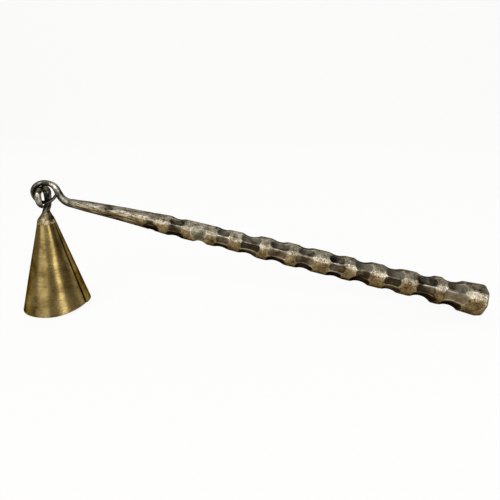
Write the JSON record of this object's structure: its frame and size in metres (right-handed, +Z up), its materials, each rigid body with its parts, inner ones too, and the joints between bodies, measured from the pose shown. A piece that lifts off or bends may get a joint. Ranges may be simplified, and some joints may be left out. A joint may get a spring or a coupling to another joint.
{
  "type": "candle snuffer",
  "caption": "Brass candle snuffer: a conical sheet bell with a lap seam, linked eye in eye to a long hammered handle, so that the bell swings level as it is lowered over a flame.",
  "frame": {"origin": "centre of the bell's mouth, on the surface that the snuffer stands on", "axes": "+Z up along the bell's axis, +X along the handle seen from above, -Z out of the bell's mouth"},
  "size_m": [0.2641, 0.038, 0.0742],
  "materials": {
    "handle": "hammered and antiqued, dark in the hollows and pale on the high spots",
    "eye": "antiqued, dark grey brown",
    "bell": "satin, lightly tarnished",
    "braze": "mottled, as run"
  },
  "bodies": {
    "handle": {"handle": "handle"},
    "bell": {"bell_eye": "eye", "bell_cone": "bell", "braze_collar": "braze"}
  },
  "joints": [
    {"name": "bell_swing", "type": "hinge", "parent": "handle", "child": "bell", "pos_m": [0.0004, 0, 0.06925], "axis": [0, 1, 0], "range_deg": [-35, 245]}
  ]
}
